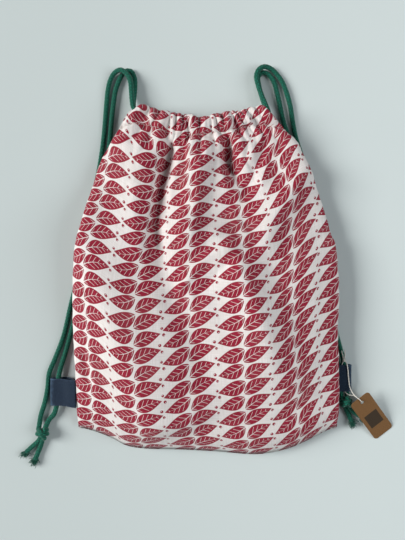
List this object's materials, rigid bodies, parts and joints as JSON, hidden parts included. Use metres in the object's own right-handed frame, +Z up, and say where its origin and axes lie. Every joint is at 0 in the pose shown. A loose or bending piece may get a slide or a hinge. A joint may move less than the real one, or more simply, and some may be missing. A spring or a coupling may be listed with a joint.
{
  "type": "drawstring knapsack",
  "caption": "Printed cotton drawstring bag lying on its back, its mouth drawn in by two braided cords that run to tape tabs and end in knots, with a blank paper tag.",
  "frame": {"origin": "middle of the flat patch of the back panel that rests on the surface", "axes": "+X to the bag's right seen from its front, +Y from the bottom seam to the mouth, +Z up through the front panel"},
  "size_m": [0.4294, 0.459, 0.06],
  "materials": {
    "printed_cotton": "woven cotton, crimson print on ecru, matt",
    "green_cord": "round braided cotton cord, matt",
    "navy_tape": "twill tape, worn lighter at its edges",
    "kraft_card": "uncoated kraft card with a darker printed block",
    "white_thread": "twisted cotton thread"
  },
  "bodies": {
    "root": {"front_panel": "printed_cotton", "back_panel": "printed_cotton", "left_tab": "navy_tape", "right_tab": "navy_tape", "left_cord_front": "green_cord", "left_cord_back": "green_cord", "left_cord_run": "green_cord", "right_cord_front": "green_cord", "right_cord_back": "green_cord", "right_cord_run": "green_cord", "left_knot": "green_cord", "right_knot": "green_cord", "hang_tag": "kraft_card", "tag_string": "white_thread"}
  },
  "joints": []
}
